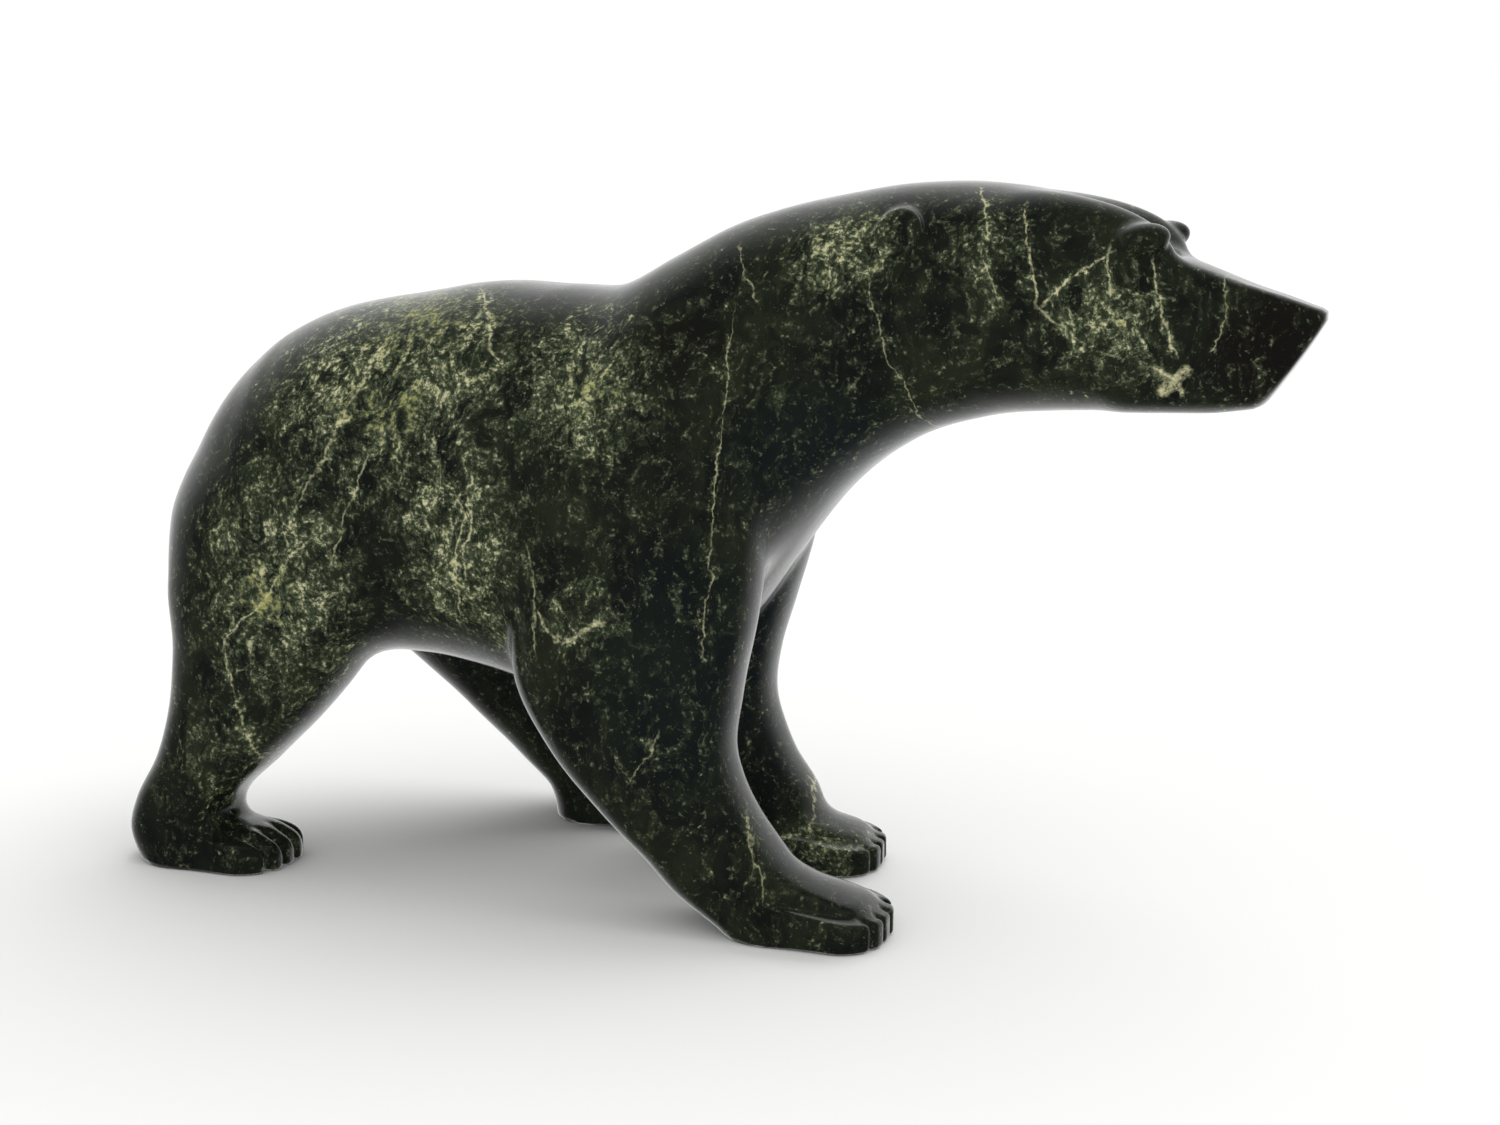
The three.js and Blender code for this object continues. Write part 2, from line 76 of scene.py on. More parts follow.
# Trunk, neck and skull, as upright slices along the bear: where, the height of the back, the height of
# the belly or throat, and half the width there.
TRUNK = [
    (-98, 125, 62, 33),
    (-84, 134, 56.5, 37.5),
    (-66, 141, 52.5, 39.5),
    (-46, 144.5, 49, 40),
    (-28, 144, 45, 39.5),
    (-12, 144.5, 45, 38),
    (2, 151.5, 52, 36),
    (16, 158.5, 62, 33),
    (28, 162.5, 79, 30.5),
    (42, 165.5, 97, 28),
    (58, 168, 109.5, 26),
    (76, 168.2, 116, 25),
    (92, 165.6, 117.9, 23.5),
    (104, 160.3, 118.4, 21.5),
    (114, 153.8, 118.8, 18),
    (126, 148, 119.5, 12),
    (136, 142, 121, 8),
]
TRUNK_FULLNESS = 2.3  # 2 is an ellipse, more is squarer
TRUNK_END_SOFTNESS = 12

# Rump: a rounded mass about one middle (x, z). Its reach is given by the angle round the side view, with
# 0 forward, 90 up and 180 back.
RUMP_MIDDLE = (-88, 85)
RUMP_HALF_WIDTH = 40
RUMP_FULLNESS = 2.15
RUMP_JOIN = 10
RUMP = [
    (0, 50),
    (45, 53),
    (90, 51.8),
    (120, 46),
    (150, 43.5),
    (180, 46.5),
    (210, 47),
    (240, 39),
    (270, 33),
    (315, 38),
]

# Legs, as level slices: the height, the rear edge, the front edge, the middle across the bear and half
# the leg's width.
RIGHT_FORELEG = [
    (0, 25.5, 46, -32.5, 12.5),
    (8, 12.5, 46, -32.5, 13.2),
    (16, 4, 39, -32.5, 13.2),
    (26, -8, 31, -31.5, 13.5),
    (38, -20, 25, -30, 14.5),
    (52, -29, 25.5, -28, 16),
    (66, -31.5, 28, -27, 17),
    (85, -35, 30, -25, 17.5),
    (110, -25, 30, -22, 17),
    (134, -8, 22, -17, 13),
]
LEFT_FORELEG = [
    (0, 12, 28, 18.5, 12),
    (8, 1, 31, 18.5, 13),
    (16, -8, 29, 20, 13),
    (26, -16, 21.5, 22, 13.5),
    (38, -23, 16, 24, 14.5),
    (52, -28, 16.5, 25, 16),
    (66, -32, 20.5, 26, 17),
    (85, -34, 26, 25, 17.5),
    (110, -25, 29, 22, 17),
    (134, -8, 22, 17, 13),
]
RIGHT_HIND_LEG = [
    (0, -133, -112, -32, 12.5),
    (8, -136, -109, -32, 13),
    (16, -134, -108, -31.5, 13.2),
    (26, -129, -98, -30, 13.8),
    (38, -126, -86, -28, 15),
    (52, -126, -75, -25, 17),
    (70, -128, -64, -22, 19),
    (95, -120, -64, -19, 18),
]
LEFT_HIND_LEG = [
    (0, -46, -26, 37.5, 12),
    (8, -52, -24, 37.5, 13),
    (16, -60.5, -27, 36.5, 13.2),
    (26, -70, -34, 34, 13.8),
    (38, -82, -42, 31, 15),
    (52, -97, -50, 27, 17),
    (70, -112, -57, 23, 19),
    (95, -116, -62, 19, 18),
]
LEG_FULLNESS = 2.4
LEG_TOP_SOFTNESS = 12
LEG_END = 1  # the columns stop just above the floor, inside the feet
SLANT = 0.9  # scales the height reading of a sloping side, to stay near a true distance

# Feet: a slab with upright sides, and a pillow of stone rising off it toward the ankle. The toes are told
# apart by short grooves.
FORE_PAD = {
    "length": 37,
    "width": 27,
    "corner": 10.5,
    "toe_height": 6.8,
    "slope": 0.12,
    "edge": 1.2,
    "pillow": 4.5,
    "groove": {"half": 0.75, "deep": 0.9, "run": 2.2},
}
HIND_PAD = {
    "length": 38,
    "width": 27,
    "corner": 11,
    "toe_height": 7.2,
    "slope": 0.06,
    "edge": 4,
    "pillow": 3,
    "groove": {"half": 1.0, "deep": 1.1, "run": 6.5},
}
TOE_LINE = 4  # how far behind the tip a toe's height is given
TOE_GAPS = (-7.6, -2.6, 2.6, 7.6)  # the grooves, to either side of the foot's middle line
GROOVE_TOP = 13  # no groove is above this height
GROOVE_BACK = 14  # or further than this behind the tip
GROOVE_BACK_FADE = 6
GROOVE_RUN_OUT = 1.6  # a groove ends at this many times its named run
GROOVE_FADE = 3
PILLOW_INSET = 2
PILLOW_RUN = 16  # how far behind the tip the pillow reaches its named rise
PILLOW_MOST = 1.3  # it rises on until this many times that far
PILLOW_EDGE = 5
PILLOW_JOIN = 1.5
SOLE_EDGE = 1.5
ANKLE_JOIN = 3
FLOOR_EDGE = 0.5

# Each leg's join to the body is crisp at the elbow or groin and soft at the shoulder or hip.
LEGS = [
    {"slices": RIGHT_FORELEG, "pad": FORE_PAD, "toe": 62.8, "y": -32.5, "turn": 0, "join": (2, 6)},
    {"slices": LEFT_FORELEG, "pad": FORE_PAD, "toe": 46.8, "y": 18.5, "turn": 6, "join": (2, 6)},
    {"slices": RIGHT_HIND_LEG, "pad": HIND_PAD, "toe": -92.5, "y": -32, "turn": 0, "join": (5, 9)},
    {"slices": LEFT_HIND_LEG, "pad": HIND_PAD, "toe": -11, "y": 37.5, "turn": 4, "join": (5, 9)},
]
CRISP_BELOW = 62
SOFT_ABOVE = 90

# Muzzle: a wedge with flat sides, a narrow flat top, a flat jaw and a front that slopes back to the chin.
MUZZLE = {
    "root": 120,
    "root_top": 150.8,
    "top_fall": 0.325,
    "jaw": 119.7,
    "half_width": 13.6,
    "taper": 0.2,
    "lean": 0.13,
    "nose_x": 149.8,
    "nose_z": 139.5,
    "front_slope": 33,  # degrees the front leans back under the nose
    "front_bulge": 0.0032,
    "front_middle": 131,
    "edge": 2.5,
    "jaw_edge": 9,
    "rear": 104,
    "rear_soft": 6,
    "soft": 4,
}

# Brows, eye hollows and ears: the middle, the reach along each axis, the degrees the front is raised, and
# how softly it joins. They are given for one side and made on both.
BROW_RIDGE = {"at": (99.3, 10, 156.8), "reach": (17.3, 6.2, 7.4), "tilt": -10, "soft": 6}
BROW_LID = {"at": (110.4, 14.2, 155.7), "reach": (7.2, 4.6, 3.8), "tilt": 14, "soft": 1.6}
EYE_HOLLOW = {"at": (114.5, 20, 149.8), "reach": (6, 4, 2.4), "tilt": 0, "soft": 4}
EAR = {"top": (60.3, 157.4, 5.4), "tip": (60.4, 147.6, 1.3), "proud": 1.7, "edge": 0.8, "soft": 0.8}
EAR_HOLLOW = {"at": (60.4, 27.4, 157), "reach": (3.9, 3.6, 4.4), "tilt": 0, "soft": 1}
WRIST_SCOOP = {"at": (39, -49, 13.5), "reach": (8, 5.5, 4.5), "tilt": 25, "soft": 2.5}

TRACE_PASSES = 3  # how often the traced points are settled on to the surface
REFINE_PASSES = 2
SPOT_CORE = 0.8  # the share of a fine spot's reach that is at its finest
SPOT_FADE = 0.4

# Where the skin is traced, and where its facets are made finer: the middle, how far, and the longest edge.
LOW_CORNER = (-146, -56, -4)
HIGH_CORNER = (160, 60, 176)
FINE_SPOTS = [
    ((60.4, 26, 153), 13, 0.6),
    ((60.4, -26, 153), 13, 0.6),
    ((111, 13, 155), 13, 0.8),
    ((111, -13, 155), 13, 0.8),
    ((42, -40, 12), 14, 0.9),
    ((58, -32.5, 5), 17, 0.7),
    ((42, 18.5, 5), 17, 0.7),
    ((-98, -32, 6), 17, 0.9),
    ((-17, 37.5, 6), 17, 0.9),
]


class CarvingForm(bpy.types.PropertyGroup):
    """How finely the carving is made."""

    skin_step: FloatProperty(
        name="Skin step",
        description="Spacing of the grid that the skin is first traced on",
        default=1.6 * MM,
        unit="LENGTH",
        precision=5,
    )
    hand_wave: FloatProperty(
        name="Hand wave",
        description="Height of the slow unevenness that rasp and sanding leave",
        default=0.1 * MM,
        unit="LENGTH",
        precision=5,
    )


def join(a, b, soft):
    """The lesser of two distances, rounded off where they are within `soft` of each other."""
    near = np.maximum(soft - np.abs(a - b), 0) / soft
    return np.minimum(a, b) - near * near * soft / 4


def common(a, b, soft):
    return -join(-a, -b, soft)


def cut(a, b, soft):
    return common(a, -b, soft)


def ease(t):
    t = np.clip(t, 0, 1)
    return t * t * (3 - 2 * t)


def through(rows, column, t):
    """A smooth curve through one column of rows whose first column is where they stand, read at t."""
    at = np.array([row[0] for row in rows], float)
    value = np.array([row[column] for row in rows], float)
    span = np.diff(at)
    rise = np.diff(value) / span
    slope = np.empty_like(value)
    slope[1:-1] = (rise[:-1] * span[1:] + rise[1:] * span[:-1]) / (span[1:] + span[:-1])
    slope[0], slope[-1] = rise[0], rise[-1]
    t = np.clip(t, at[0], at[-1])
    i = np.clip(np.searchsorted(at, t, side="right") - 1, 0, len(at) - 2)
    u = (t - at[i]) / span[i]
    u2, u3 = u * u, u * u * u
    return (
        (2 * u3 - 3 * u2 + 1) * value[i]
        + (u3 - 2 * u2 + u) * span[i] * slope[i]
        + (3 * u2 - 2 * u3) * value[i + 1]
        + (u3 - u2) * span[i] * slope[i + 1]
    )


def slice_reach(da, a, db, b, fullness):
    """How far out a point is on a slice of half sizes a and b: 1 on the edge."""
    return (np.abs(da / a) ** fullness + np.abs(db / b) ** fullness + TINY) ** (1 / fullness)


def ellipsoid(x, y, z, mass):
    c, s = math.cos(math.radians(mass["tilt"])), math.sin(math.radians(mass["tilt"]))
    (mx, my, mz), (rx, ry, rz) = mass["at"], mass["reach"]
    dx = (x - mx) * c + (z - mz) * s
    dy = y - my
    dz = (z - mz) * c - (x - mx) * s
    near = np.sqrt((dx / rx) ** 2 + (dy / ry) ** 2 + (dz / rz) ** 2)
    steep = np.sqrt((dx / rx**2) ** 2 + (dy / ry**2) ** 2 + (dz / rz**2) ** 2) + TINY
    return near * (near - 1) / steep


def trunk(x, y, z):
    top, bottom, half = (through(TRUNK, column, x) for column in (1, 2, 3))
    tall = (top - bottom) / 2
    out = slice_reach(y, half, z - (top + bottom) / 2, tall, TRUNK_FULLNESS)
    ends = np.maximum(TRUNK[0][0] - x, x - TRUNK[-1][0])
    return common((out - 1) * np.minimum(half, tall), ends, TRUNK_END_SOFTNESS)


def rump(x, y, z):
    dx, dz = x - RUMP_MIDDLE[0], z - RUMP_MIDDLE[1]
    angle = np.degrees(np.arctan2(dz, dx)) % 360
    turns = [(at + 360 * turn, reach) for turn in (-1, 0, 1) for at, reach in RUMP]
    out = slice_reach(np.hypot(dx, dz), through(turns, 1, angle), y, RUMP_HALF_WIDTH, RUMP_FULLNESS)
    return (out - 1) * RUMP_HALF_WIDTH


def leg_column(x, y, z, slices):
    rear, front, middle, half = (through(slices, column, z) for column in (1, 2, 3, 4))
    long = (front - rear) / 2
    out = slice_reach(x - (front + rear) / 2, long, y - middle, half, LEG_FULLNESS)
    side = (out - 1) * np.minimum(long, half) * SLANT
    return common(common(side, z - slices[-1][0], LEG_TOP_SOFTNESS), LEG_END - z, LEG_END)


def foot(x, y, z, leg):
    """The slab with its pillow, and how deep the grooves between the toes cut there."""
    pad = leg["pad"]
    c, s = math.cos(math.radians(leg["turn"])), math.sin(math.radians(leg["turn"]))
    back = (leg["toe"] - x) * c + (leg["y"] - y) * s  # distance behind the toes
    side = (y - leg["y"]) * c - (x - leg["toe"]) * s
    qx = np.abs(back - pad["length"] / 2) - pad["length"] / 2 + pad["corner"]
    qy = np.abs(side) - pad["width"] / 2 + pad["corner"]
    outline = np.hypot(np.maximum(qx, 0), np.maximum(qy, 0)) + np.minimum(np.maximum(qx, qy), 0)
    outline = outline - pad["corner"]
    top = pad["toe_height"] + pad["slope"] * (back - TOE_LINE)
    slab = common(outline, z - top, pad["edge"])
    arch = 1 - (side / (pad["width"] / 2)) ** 2
    run = np.sqrt(np.clip(back / PILLOW_RUN, 0, PILLOW_MOST))
    crown = (z - top - pad["pillow"] * arch * run) * SLANT
    pillow = common(outline + PILLOW_INSET, crown, PILLOW_EDGE)
    shape = join(common(slab, -z, SOLE_EDGE), common(pillow, -z, SOLE_EDGE), PILLOW_JOIN)
    groove = pad["groove"]
    lines = sum(np.exp(-(((side - gap) / groove["half"]) ** 2)) for gap in TOE_GAPS)
    reach_in = -outline / groove["run"]  # 1 where the groove has run out, behind the front edge
    fade = ease(GROOVE_RUN_OUT - reach_in) * ease((GROOVE_BACK - back) / GROOVE_BACK_FADE)
    fade = fade * ease((GROOVE_TOP - z) / GROOVE_FADE) * ease(GROOVE_FADE - outline)
    return shape, lines * fade * groove["deep"]


def muzzle(x, y, z):
    m = MUZZLE
    along = x - m["root"]
    fall = math.atan(m["top_fall"])
    top = (z - (m["root_top"] - m["top_fall"] * along)) * math.cos(fall)
    half = m["half_width"] - m["taper"] * along - m["lean"] * (z - m["jaw"])
    side = (np.abs(y) - half) * math.cos(math.atan(m["taper"]))
    slope = math.radians(m["front_slope"])
    bulge = m["front_bulge"] * (z - m["front_middle"]) ** 2
    front = (x - m["nose_x"]) * math.cos(slope) - (z - m["nose_z"]) * math.sin(slope) + bulge
    d = common(side, top, m["edge"])
    d = common(d, m["jaw"] - z, m["jaw_edge"])
    d = common(d, front, m["edge"])
    return common(d, m["rear"] - x, m["rear_soft"])


def ear_outline(x, z):
    """The ear seen from the side: round above, drawn down to a point."""
    (top_x, top_z, top_r), (tip_x, tip_z, tip_r) = EAR["top"], EAR["tip"]
    ux, uz = tip_x - top_x, tip_z - top_z
    t = np.clip(((x - top_x) * ux + (z - top_z) * uz) / (ux * ux + uz * uz), 0, 1)
    return np.hypot(x - top_x - t * ux, z - top_z - t * uz) - (top_r + (tip_r - top_r) * t)


def head(x, y, z):
    side = np.abs(y)
    d = join(trunk(x, y, z), muzzle(x, y, z), MUZZLE["soft"])
    for mass in (BROW_RIDGE, BROW_LID):
        d = join(d, ellipsoid(x, side, z, mass), mass["soft"])
    d = cut(d, ellipsoid(x, side, z, EYE_HOLLOW), EYE_HOLLOW["soft"])
    d = join(d, common(ear_outline(x, z), d - EAR["proud"], EAR["edge"]), EAR["soft"])
    return cut(d, ellipsoid(x, side, z, EAR_HOLLOW), EAR_HOLLOW["soft"])


def hand_waves(x, y, z):
    """A slow unevenness between -1 and 1, with waves 15 to 40 mm long."""
    a = np.sin(x / 6.1 + 1.3 * np.sin(z / 9.7)) * np.sin(z / 5.3 + 0.9 * np.sin(y / 7.9))
    b = np.sin(y / 4.7 + 1.1 * np.sin(x / 8.3)) * np.sin(x / 3.7 - z / 4.9)
    return (2 * a + b) / 3


def bear(x, y, z, wave):
    d = join(head(x, y, z), rump(x, y, z), RUMP_JOIN)
    grooves = 0
    for leg in LEGS:
        pad, groove = foot(x, y, z, leg)
        limb = join(leg_column(x, y, z, leg["slices"]), pad, ANKLE_JOIN)
        crisp, soft = leg["join"]
        softness = crisp + (soft - crisp) * ease((z - CRISP_BELOW) / (SOFT_ABOVE - CRISP_BELOW))
        d = join(d, limb, softness)
        grooves = grooves + groove
    d = cut(d, ellipsoid(x, y, z, WRIST_SCOOP), WRIST_SCOOP["soft"])
    return common(d + grooves + wave * hand_waves(x, y, z), -z, FLOOR_EDGE)


# --- the skin -----------------------------------------------------------------------------------


def trace(field, step):
    """One point in each grid cell that the surface passes through, and one four-sided face across each
    grid edge that it crosses."""
    axes = [np.arange(low, high + step, step) for low, high in zip(LOW_CORNER, HIGH_CORNER)]
    grid = np.meshgrid(*axes, indexing="ij")
    value = field(*grid)
    cells = [n - 1 for n in value.shape]
    total, count = np.zeros([*cells, 3]), np.zeros(cells)
    for corner in np.ndindex(2, 2, 2):
        start = tuple(slice(c, c + n) for c, n in zip(corner, cells))
        for axis in range(3):
            if corner[axis]:
                continue
            end = tuple(slice(s.start + (i == axis), s.stop + (i == axis)) for i, s in enumerate(start))
            a, b = value[start], value[end]
            crossed = (a < 0) != (b < 0)
            share = np.where(crossed, a / np.where(crossed, a - b, 1), 0)
            for i in range(3):
                total[..., i] += crossed * (grid[i][start] + (i == axis) * share * step)
            count += crossed
    used = count > 0
    number = np.full(cells, -1)
    number[used] = np.arange(used.sum())
    points = total[used] / count[used][:, None]
    faces = []
    for axis in range(3):
        b, c = (axis + 1) % 3, (axis + 2) % 3
        inner = [slice(1, n) for n in cells]
        here, ahead = list(inner), list(inner)
        here[axis], ahead[axis] = slice(0, cells[axis]), slice(1, cells[axis] + 1)
        first, second = value[tuple(here)], value[tuple(ahead)]
        found = np.argwhere((first < 0) != (second < 0))
        cell = found + [i != axis for i in range(3)]
        ring = []
        for db, dc in ((1, 1), (0, 1), (0, 0), (1, 0)):
            near = cell.copy()
            near[:, b] -= db
            near[:, c] -= dc
            ring.append(number[tuple(near.T)])
        quads = np.stack(ring, 1)
        outward = first[tuple(found.T)] > 0
        quads[outward] = quads[outward][:, ::-1]
        faces.append(quads)
    return points, np.concatenate(faces)


def slope_of(field, points, step=0.05):
    shifts = np.eye(3) * step
    return np.stack([field(*(points + s).T) - field(*(points - s).T) for s in shifts], -1) / (2 * step)


def settle(field, points, passes):
    """Moves points on to the surface, along the way the field rises."""
    most, flattest = 0.5, 0.05  # the furthest one pass may move a point, and the least slope trusted
    for _ in range(passes):
        rise = slope_of(field, points)
        step = rise * (field(*points.T) / np.maximum((rise**2).sum(1), flattest))[:, None]
        length = np.linalg.norm(step, axis=1, keepdims=True)
        points = points - step * np.minimum(1, most / np.maximum(length, TINY))
    return points


def to_triangles(points, quads):
    """Cuts each four-sided face along its shorter diagonal."""
    a, b, c, d = (points[quads[:, i]] for i in range(4))
    short = (np.linalg.norm(a - c, axis=1) <= np.linalg.norm(b - d, axis=1))[:, None]
    first = np.where(short, quads[:, [0, 1, 2]], quads[:, [0, 1, 3]])
    second = np.where(short, quads[:, [0, 2, 3]], quads[:, [1, 2, 3]])
    return np.concatenate([first, second])


def longest_edge(points, far):
    """The longest edge allowed at each point: short near the fine work, `far` elsewhere."""
    wanted = np.full(len(points), float(far))
    for middle, reach, size in FINE_SPOTS:
        away = np.linalg.norm(points - np.array(middle), axis=1)
        spot = size + (far - size) * ease((away / reach - SPOT_CORE) / SPOT_FADE)
        wanted = np.minimum(wanted, spot)
    return wanted


def refine(points, faces, far):
    """Halves every edge that is too long for the work on it, and rebuilds the triangles that it borders."""
    sides = np.sort(faces[:, [[0, 1], [1, 2], [2, 0]]].reshape(-1, 2), axis=1)
    edges, of_side = np.unique(sides, axis=0, return_inverse=True)
    middles = points[edges].mean(1)
    length = np.linalg.norm(points[edges[:, 0]] - points[edges[:, 1]], axis=1)
    halved = length > longest_edge(middles, far)
    number = np.where(halved, len(points) + np.cumsum(halved) - 1, -1)
    mids = number[of_side.reshape(-1)].reshape(-1, 3)
    points = np.concatenate([points, middles[halved]])
    count = (mids >= 0).sum(1)
    made = [faces[count == 0]]

    def turned(chosen, start):
        """The chosen triangles and their new points, turned so that side `start` comes first."""
        order = (start[:, None] + np.arange(3)) % 3
        rows = np.arange(len(order))[:, None]
        return faces[chosen][rows, order].T, mids[chosen][rows, order].T

    one, two, three = (count == n for n in (1, 2, 3))
    (a, b, c), (m, _, _) = turned(one, np.argmax(mids[one] >= 0, axis=1))
    made += [np.stack(t, 1) for t in ((a, m, c), (m, b, c))]
    whole = np.argmax(mids[two] < 0, axis=1)
    (a, b, c), (m, n, _) = turned(two, (whole + 1) % 3)
    made += [np.stack(t, 1) for t in ((m, b, n), (a, m, n), (a, n, c))]
    (a, b, c), (m, n, o) = turned(three, np.zeros(three.sum(), int))
    made += [np.stack(t, 1) for t in ((a, m, o), (m, b, n), (o, n, c), (m, n, o))]
    return points, np.concatenate(made)


def carve(form):
    """The bear's skin as points in metres, set in the frame, and triangles."""
    step = form.skin_step / MM
    wave = form.hand_wave / MM

    def field(x, y, z):
        return bear(x, y, z, wave)

    points, quads = trace(field, step)
    points = settle(field, points, TRACE_PASSES)
    faces = to_triangles(points, quads)
    for _ in range(REFINE_PASSES):
        points, faces = refine(points, faces, 2 * step)
        points = settle(field, points, REFINE_PASSES)
    points[:, 2] = np.maximum(points[:, 2], 0)
    low, high = points.min(0), points.max(0)
    cad_low, cad_high = (np.array(corner) for corner in CAD_BOX)
    fit = np.minimum(1, (cad_high - cad_low) / ((high - low) * MM))  # it never passes the CAD box
    middle = (low + high) / 2
    middle[2] = 0
    at = (cad_low + cad_high) / 2
    at[2] = cad_low[2]
    return (points - middle) * MM * fit + at, faces, middle


# --- materials ----------------------------------------------------------------------------------


class StoneFinish(bpy.types.PropertyGroup):
    """Colours of the stone, as sRGB hex values, and its polish."""

    ground: StringProperty(name="Ground", description="The near-black green ground", default="121613")
    olive: StringProperty(name="Olive", description="Olive mottling in the ground", default="23281c")
    blue: StringProperty(
        name="Blue", description="The bluish ground of throat and forelegs", default="131a1c"
    )
    brown: StringProperty(name="Brown", description="The brownish ground of the muzzle", default="151310")
    cream: StringProperty(name="Cream", description="Palest grains and veins", default="d0cda2")
    haze: StringProperty(name="Haze", description="Olive haze round the grains", default="3d4530")
    grey: StringProperty(name="Grey", description="Grey-green grains", default="737c60")
    yellow: StringProperty(name="Yellow", description="Yellow-green grains", default="a3a055")
    roughness: FloatProperty(
        name="Roughness",
        description="Roughness of the waxed skin",
        default=0.16,
        min=0,
        max=1,
        subtype="FACTOR",
    )


def colour(text):
    """An sRGB hex value as linear RGBA."""
    parts = [int(text[i : i + 2], 16) / 255 for i in (0, 2, 4)]
    return (*[p / 12.92 if p <= 0.04045 else ((p + 0.055) / 1.055) ** 2.4 for p in parts], 1)


def put(tree, kind, inputs=(), out=0, **settings):
    """Adds a node with its settings. Each input is a value, or another node's output to link."""
    node = tree.nodes.new("ShaderNode" + kind)
    for name, value in settings.items():
        setattr(node, name, value)
    for name, value in inputs.items() if isinstance(inputs, dict) else enumerate(inputs):
        if isinstance(value, bpy.types.NodeSocket):
            tree.links.new(value, node.inputs[name])
        else:
            node.inputs[name].default_value = value
    return node.outputs[out]


# Where the stone changes: the middle, the reach along each axis, and how strongly. In the form's
# millimetres.
SPECKLED = [
    ((-60, -20, 122), (46, 70, 40), 1.0),  # hip and back
    ((-88, -20, 74), (30, 70, 44), 0.9),  # thigh
    ((-40, -20, 88), (24, 70, 44), 0.85),  # flank
    ((-10, -30, 122), (26, 60, 24), 0.9),  # behind the shoulder
    ((47, -10, 154), (20, 60, 14), 0.9),  # neck behind the ear
    ((80, -10, 152), (16, 50, 16), 0.6),  # neck before the ear
    ((104, -14, 138), (18, 40, 16), 0.9),  # cheek and jaw
    ((-6, -42, 72), (16, 20, 12), 0.7),  # elbow
    ((-104, -20, 26), (24, 60, 26), 0.5),  # hock
    ((36, 8, 6), (16, 20, 10), 0.8),  # left fore toes
]
BLUISH = [
    ((44, 0, 108), (34, 60, 24), 1.0),  # throat
    ((14, 0, 58), (34, 80, 50), 0.9),  # chest and forelegs
]
BROWNISH = [
    ((138, 0, 132), (22, 40, 22), 1.0),  # muzzle
    ((14, -34, 132), (15, 14, 12), 0.9),  # top of the shoulder
]
YELLOWED = [
    ((-57, -20, 136), (16, 40, 11), 1.2),
    ((-60, -38, 116), (14, 16, 12), 1.1),
    ((-30, -10, 140), (14, 40, 10), 1.2),
    ((-6, -36, 124), (12, 16, 9), 0.6),
    ((-90, -41, 70), (14, 18, 14), 0.9),
    ((118, -14, 126), (5, 8, 5), 1.2),
]

# Old cracks healed with pale mineral. Each is a plane across the block, which shows on the skin as a thin
# wandering line between two ends (x, z): half its width, how strong it is, and how far it leans.
VEINS = [
    ((25, 138), (20, 64), 0.15, 0.6, 0.1),  # down the shoulder's front
    ((23, 155), (30, 142), 0.15, 0.5, 0.1),
    ((54, 147), (66, 112), 0.15, 0.5, 0.0),  # below the ear
    ((79, 168), (82, 156), 0.2, 0.8, 0.2),
    ((80, 156), (84, 143), 0.15, 0.6, 0.1),
    ((88, 164), (92, 143), 0.2, 0.8, 0.1),
    ((92, 143), (105, 155), 0.22, 0.9, 0.1),  # up to the brow
    ((92, 143), (101, 136), 0.2, 0.6, 0.1),
    ((105, 155), (106, 144), 0.2, 0.7, 0.0),
    ((115, 152), (121, 132), 0.2, 0.8, 0.1),  # behind the mouth
    ((128, 149), (129, 141), 0.12, 0.5, 0.0),  # across the muzzle
    ((129, 141), (126, 133), 0.12, 0.5, 0.0),
    ((-40, 98), (-43, 68), 0.2, 0.8, 0.2),  # a pair down the flank
    ((-38, 98), (-40, 78), 0.2, 0.8, 0.2),
    ((-80, 86), (-105, 58), 0.25, 0.8, 0.2),  # down the thigh
    ((-105, 58), (-98, 26), 0.2, 0.7, 0.2),
    ((-63, 107), (-74, 78), 0.2, 0.6, 0.1),
    ((-40, 145), (-32, 126), 0.25, 0.8, 0.3),
    ((-62, 132), (-86, 90), 0.25, 0.5, 0.3),
    ((-22, 86), (-20, 62), 0.2, 0.5, 0.1),
    ((5, 34), (12, 46), 0.15, 0.4, 0.0),
    ((29, 28), (36, 10), 0.2, 0.5, 0.1),
    ((-19, 71), (-12, 65), 0.35, 0.7, 0.0),  # the arc at the elbow
    ((-12, 65), (-1, 71), 0.35, 0.7, 0.0),
    ((116, 123), (122, 129), 0.8, 0.9, 0.0),  # the star on the jaw
    ((115, 129), (121, 123), 0.6, 0.9, 0.0),
]
VEIN_HALO = 2  # grains gather this near to a vein

# How far places wander before a pattern is read there: the size of the lumps, and the most they move it.
WANDERS = {
    "drawn": [(14, 8), (5, 2)],
    "close": [(9, 1.6), (2.4, 0.45)],
    "broken": [(9, 2.4), (2.4, 0.9), (0.9, 0.3)],
}
DRAWN_OUT = (1, 1, 0.62)  # the drifts are longer upright than they are wide

# Patterns in the stone: where each is read, the size of its lumps, how many finer layers it has and how
# strong they are.
PATTERNS = {
    "mottle": ("drawn", 12, 4, 0.62),
    "patches": ("drawn", 6, 3, 0.62),
    "froth": ("drawn", 2.8, 4, 0.7),
    "grains": ("close", 1.1, 3, 0.75),
    "tone": ("close", 3, 3, 0.6),
    "polish": ("block", 11, 4, 0.5),
}


